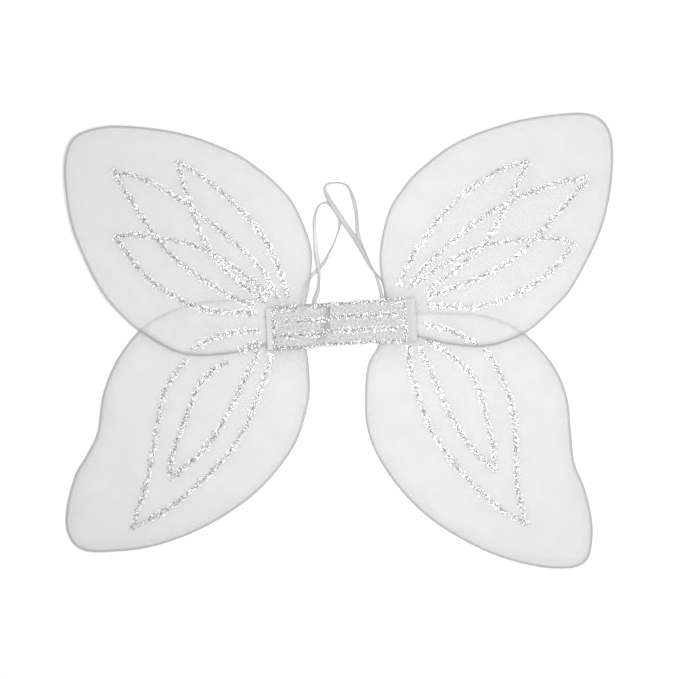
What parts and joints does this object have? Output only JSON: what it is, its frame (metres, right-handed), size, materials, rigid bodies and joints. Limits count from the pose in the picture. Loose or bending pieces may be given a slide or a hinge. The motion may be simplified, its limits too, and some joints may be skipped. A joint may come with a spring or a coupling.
{
  "type": "fairy wings",
  "caption": "Sheer white costume fairy wings on wire loops with silver glitter leaf lines, a glittered centre band and elastic shoulder loops.",
  "frame": {"origin": "centre of the back panel's lower face, where the band rests", "axes": "+X along the band to the right wings seen from the front, +Y to the upper wings, +Z out of the glittered front face"},
  "size_m": [0.6232, 0.513, 0.0115],
  "materials": {
    "nylon": "sheer white stocking knit",
    "coated_wire": "white coated",
    "panel_mesh": "dense white mesh",
    "end_tape": "white woven tape",
    "glitter_glue": "clear glue full of silver glitter",
    "elastic": "flat woven elastic",
    "thread": "white thread and glue"
  },
  "bodies": {
    "band_centre": {"back_panel_centre": "panel_mesh", "bottom_seam_centre": "thread", "front_panel_centre": "panel_mesh", "left_strap": "elastic", "panel_glitter_centre_row_1": "glitter_glue", "panel_glitter_centre_row_2": "glitter_glue", "panel_glitter_centre_row_3": "glitter_glue", "panel_glitter_centre_row_4": "glitter_glue", "right_strap": "elastic", "spine_wire_centre_bottom": "coated_wire", "spine_wire_centre_top": "coated_wire", "top_seam_centre": "thread"},
    "left_side": {"back_panel_left": "panel_mesh", "bottom_seam_left": "thread", "end_tape_left": "end_tape", "front_panel_left": "panel_mesh", "left_root_lashing": "thread", "left_strap_tack_1": "thread", "left_strap_tack_2": "thread", "panel_glitter_left_frame": "glitter_glue", "panel_glitter_left_row_1": "glitter_glue", "panel_glitter_left_row_2": "glitter_glue", "panel_glitter_left_row_3": "glitter_glue", "spine_wire_left": "coated_wire", "top_seam_left": "thread"},
    "right_side": {"back_panel_right": "panel_mesh", "bottom_seam_right": "thread", "end_tape_right": "end_tape", "front_panel_right": "panel_mesh", "panel_glitter_right_frame": "glitter_glue", "panel_glitter_right_row_2": "glitter_glue", "panel_glitter_right_row_3": "glitter_glue", "right_root_lashing": "thread", "right_strap_tack_1": "thread", "right_strap_tack_2": "thread", "spine_wire_right": "coated_wire", "top_seam_right": "thread"},
    "upper_left_wing": {"upper_left_crossing_glitter": "glitter_glue", "upper_left_edge_glitter": "glitter_glue", "upper_left_glitter": "glitter_glue", "upper_left_sleeve": "nylon", "upper_left_wire_loop": "coated_wire"},
    "lower_left_wing": {"lower_left_inner_glitter": "glitter_glue", "lower_left_outer_glitter": "glitter_glue", "lower_left_sleeve": "nylon", "lower_left_wire_loop": "coated_wire"},
    "upper_right_wing": {"upper_right_crossing_glitter": "glitter_glue", "upper_right_glitter": "glitter_glue", "upper_right_sleeve": "nylon", "upper_right_wire_loop": "coated_wire"},
    "lower_right_wing": {"lower_right_inner_glitter": "glitter_glue", "lower_right_outer_glitter": "glitter_glue", "lower_right_sleeve": "nylon", "lower_right_wire_loop": "coated_wire"}
  },
  "joints": [
    {"name": "left_fold", "type": "hinge", "parent": "band_centre", "child": "left_side", "pos_m": [-0.0175, 0, 0.0116], "axis": [0, 1, 0], "range_deg": [0, 90]},
    {"name": "right_fold", "type": "hinge", "parent": "band_centre", "child": "right_side", "pos_m": [0.0175, 0, 0.0116], "axis": [0, -1, 0], "range_deg": [0, 90]},
    {"name": "upper_left_swing", "type": "hinge", "parent": "left_side", "child": "upper_left_wing", "pos_m": [-0.054, 0.001, 0.0069], "axis": [0, 0, 1], "range_deg": [-6, 6]},
    {"name": "lower_left_swing", "type": "hinge", "parent": "left_side", "child": "lower_left_wing", "pos_m": [-0.054, 0.001, 0.0026], "axis": [0, 0, 1], "range_deg": [-6, 6]},
    {"name": "upper_right_swing", "type": "hinge", "parent": "right_side", "child": "upper_right_wing", "pos_m": [0.054, 0.001, 0.0069], "axis": [0, 0, 1], "range_deg": [-6, 6]},
    {"name": "lower_right_swing", "type": "hinge", "parent": "right_side", "child": "lower_right_wing", "pos_m": [0.054, 0.001, 0.0026], "axis": [0, 0, 1], "range_deg": [-6, 6]}
  ]
}
